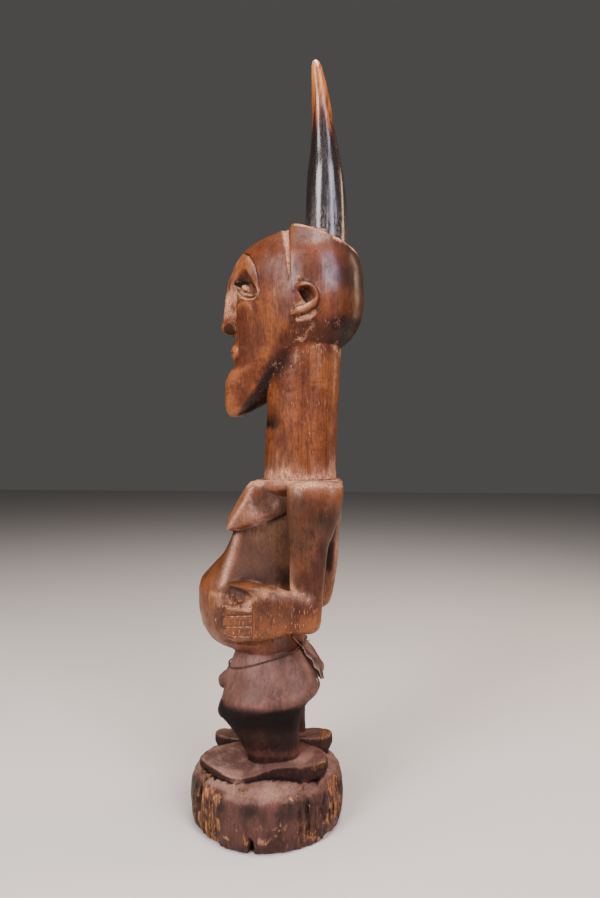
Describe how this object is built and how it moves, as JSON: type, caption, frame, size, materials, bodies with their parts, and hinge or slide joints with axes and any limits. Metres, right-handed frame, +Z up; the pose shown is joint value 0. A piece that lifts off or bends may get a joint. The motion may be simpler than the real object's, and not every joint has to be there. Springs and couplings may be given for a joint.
{
  "type": "power figure",
  "caption": "Standing carved wooden power figure on a round plinth, hands on its belly, with an animal horn set upright in its crown.",
  "frame": {"origin": "centre of the flat underside of the round plinth", "axes": "+Z up, -Y the way that the figure faces, +X the figure's left side"},
  "size_m": [0.132, 0.15, 0.6551],
  "materials": {
    "carved_wood": "hand-rubbed patina, matt and dark below",
    "horn": "polished",
    "paste": "crumbly",
    "fibre_cord": "twisted plant fibre",
    "hide": "dry and curled"
  },
  "bodies": {
    "root": {"figure": "carved_wood", "horn": "horn", "crown_paste": "paste", "waist_cord": "fibre_cord", "hide_scrap": "hide"}
  },
  "joints": []
}
